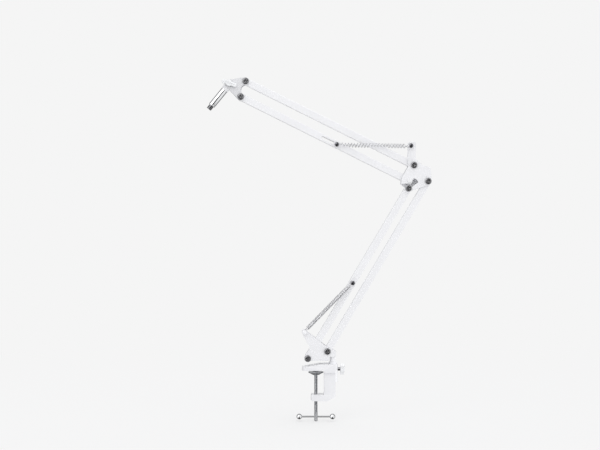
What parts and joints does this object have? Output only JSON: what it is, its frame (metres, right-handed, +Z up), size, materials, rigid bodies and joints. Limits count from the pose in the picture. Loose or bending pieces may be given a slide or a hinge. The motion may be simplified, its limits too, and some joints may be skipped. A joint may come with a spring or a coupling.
{
  "type": "desk-clamped scissor boom arm",
  "caption": "Two-section spring-balanced scissor arm in white square tube, with a desk clamp and a tilting chrome rod that ends in a threaded stud.",
  "frame": {"origin": "on the desk surface under the clamp's upper jaw, on the clamp screw's axis", "axes": "+X away from the desk edge towards the pivot socket, +Y across the arm, +Z up"},
  "size_m": [0.3989, 0.0344, 0.6094],
  "materials": {
    "white_paint": "satin white powder coat",
    "grey_paint": "satin pale grey powder coat",
    "white_plastic": "fine moulded satin",
    "nylon": "plain moulded nylon",
    "chrome": "polished",
    "nickel": "dark nickel plate, turned",
    "black_steel": "black oxide, turned and polished",
    "zinc": "bright zinc plate",
    "spring_wire": "bright drawn wire"
  },
  "bodies": {
    "clamp": {"clamp_frame": "white_paint"},
    "lock_screw": {"lock_screw_stud": "nickel", "lock_screw_wing": "white_plastic"},
    "clamp_pad": {"clamp_pad": "zinc"},
    "clamp_screw": {"clamp_screw": "zinc"},
    "tommy_bar": {"tommy_bar": "chrome", "tommy_bar_balls": "chrome"},
    "pivot_pin": {"pivot_pin": "white_paint", "pivot_thrust_washer": "nylon", "pivot_retaining_ring": "nickel"},
    "base": {"base_bracket": "white_paint", "base_pivot_bolts": "nickel", "base_lock_nuts": "nickel", "base_nylon_washers": "nylon", "base_spring_posts": "white_paint"},
    "lower_left": {"lower_tube_left": "white_paint", "lower_left_plugs": "nylon", "lower_tube_spring_pin": "black_steel"},
    "lower_right": {"lower_tube_right": "white_paint", "lower_right_plugs": "nylon"},
    "lower_spring": {"lower_spring_front": "spring_wire", "lower_spring_back": "spring_wire"},
    "lower_spring_end": {"lower_spring_hook_front": "spring_wire", "lower_spring_hook_back": "spring_wire"},
    "elbow": {"elbow_bracket": "white_paint", "elbow_pivot_bolts": "nickel", "elbow_lock_nuts": "nickel", "elbow_nylon_washers": "nylon", "elbow_rivet": "white_paint", "elbow_spring_pin": "black_steel"},
    "upper_top": {"upper_tube_top": "white_paint", "upper_top_plugs": "nylon"},
    "upper_bottom": {"upper_tube_bottom": "white_paint", "upper_bottom_plugs": "nylon", "upper_tube_spring_pin": "black_steel"},
    "upper_spring": {"upper_spring_front": "spring_wire", "upper_spring_back": "spring_wire"},
    "upper_spring_end": {"upper_spring_hook_front": "spring_wire", "upper_spring_hook_back": "spring_wire"},
    "tip": {"tip_bracket": "grey_paint", "tip_pivot_bolts": "nickel", "tip_lock_nuts": "nickel", "tip_nylon_washers": "nylon", "tilt_washer": "nickel", "tilt_nut": "nickel"},
    "head": {"swivel_head": "white_paint", "chrome_rod": "chrome", "threaded_stud": "nickel"},
    "tilt_screw": {"tilt_screw_stud": "nickel", "tilt_screw_wing": "white_plastic"}
  },
  "joints": [
    {"name": "arm_lift", "type": "slide", "parent": "clamp", "child": "pivot_pin", "axis": [0, 0, 1], "range_m": [0, 0.03]},
    {"name": "arm_swivel", "type": "hinge", "parent": "pivot_pin", "child": "base", "pos_m": [0.03, 0, 0.017], "axis": [0, 0, 1], "continuous": true},
    {"name": "lower_arm", "type": "hinge", "parent": "base", "child": "lower_left", "pos_m": [-0.0143, 0, 0.021], "axis": [0, 1, 0], "range_deg": [-25, 18]},
    {"name": "lower_right_follow", "type": "hinge", "parent": "base", "child": "lower_right", "pos_m": [0.0203, 0, 0.0335], "axis": [0, 1, 0], "range_deg": [-25.05, 18.05]},
    {"name": "elbow_level", "type": "hinge", "parent": "lower_left", "child": "elbow", "pos_m": [0.16386, 0, 0.32226], "axis": [0, 1, 0], "range_deg": [-18.05, 25.05]},
    {"name": "lower_spring_swing", "type": "hinge", "parent": "base", "child": "lower_spring", "pos_m": [-0.0209, 0, 0.0674], "axis": [0, 1, 0], "range_deg": [-31.05, 22.37]},
    {"name": "lower_spring_stretch", "type": "slide", "parent": "lower_spring", "child": "lower_spring_end", "axis": [0.7002, 0, 0.714], "range_m": [-0.01483, 0.0107], "deforming": ["lower_spring_front", "lower_spring_back", "lower_spring_hook_front", "lower_spring_hook_back"]},
    {"name": "upper_arm", "type": "hinge", "parent": "elbow", "child": "upper_top", "pos_m": [0.1735, 0, 0.3631], "axis": [0, 1, 0], "range_deg": [-25, 25]},
    {"name": "upper_bottom_follow", "type": "hinge", "parent": "elbow", "child": "upper_bottom", "pos_m": [0.1649, 0, 0.3356], "axis": [0, 1, 0], "range_deg": [-25.05, 25.05]},
    {"name": "tip_level", "type": "hinge", "parent": "upper_top", "child": "tip", "pos_m": [-0.12451, 0, 0.51168], "axis": [0, 1, 0], "range_deg": [-25.05, 25.05]},
    {"name": "upper_spring_swing", "type": "hinge", "parent": "elbow", "child": "upper_spring", "pos_m": [0.1678, 0, 0.3971], "axis": [0, 1, 0], "range_deg": [-24.75, 24.75]},
    {"name": "upper_spring_stretch", "type": "slide", "parent": "upper_spring", "child": "upper_spring_end", "axis": [-0.9998, 0, 0.0176], "range_m": [-0.02628, 0.02628], "deforming": ["upper_spring_front", "upper_spring_back", "upper_spring_hook_front", "upper_spring_hook_back"]},
    {"name": "head_tilt", "type": "hinge", "parent": "tip", "child": "head", "pos_m": [-0.1534, 0, 0.5075], "axis": [0, 1, 0], "range_deg": [-35, 95]},
    {"name": "tilt_screw_turn", "type": "hinge", "parent": "tip", "child": "tilt_screw", "pos_m": [-0.1534, 0, 0.5075], "axis": [0, 1, 0], "range_deg": [-180, 180]},
    {"name": "lock_screw_turn", "type": "hinge", "parent": "clamp", "child": "lock_screw", "pos_m": [0.04, 0, 0.0015], "axis": [1, 0, 0], "range_deg": [-180, 180]},
    {"name": "clamp_feed", "type": "slide", "parent": "clamp", "child": "clamp_pad", "axis": [0, 0, 1], "range_m": [-0.0331, 0.0022]},
    {"name": "clamp_turn", "type": "hinge", "parent": "clamp_pad", "child": "clamp_screw", "pos_m": [0, 0, -0.05], "axis": [0, 0, 1], "range_deg": [-11900, 780]},
    {"name": "tommy_bar_slide", "type": "slide", "parent": "clamp_screw", "child": "tommy_bar", "axis": [1, 0, 0], "range_m": [-0.018, 0.018]}
  ],
  "couplings": [
    {"joint": "lower_right_follow", "follows": "lower_arm", "ratio": 1},
    {"joint": "elbow_level", "follows": "lower_arm", "ratio": -1},
    {"joint": "lower_spring_swing", "follows": "lower_arm", "ratio": 1.24},
    {"joint": "lower_spring_stretch", "follows": "lower_arm", "m_per_rad": 0.03375},
    {"joint": "upper_bottom_follow", "follows": "upper_arm", "ratio": 1},
    {"joint": "tip_level", "follows": "upper_arm", "ratio": -1},
    {"joint": "upper_spring_swing", "follows": "upper_arm", "ratio": 0.988},
    {"joint": "upper_spring_stretch", "follows": "upper_arm", "m_per_rad": -0.06},
    {"joint": "clamp_feed", "follows": "clamp_turn", "m_per_rad": 0.00015915}
  ]
}
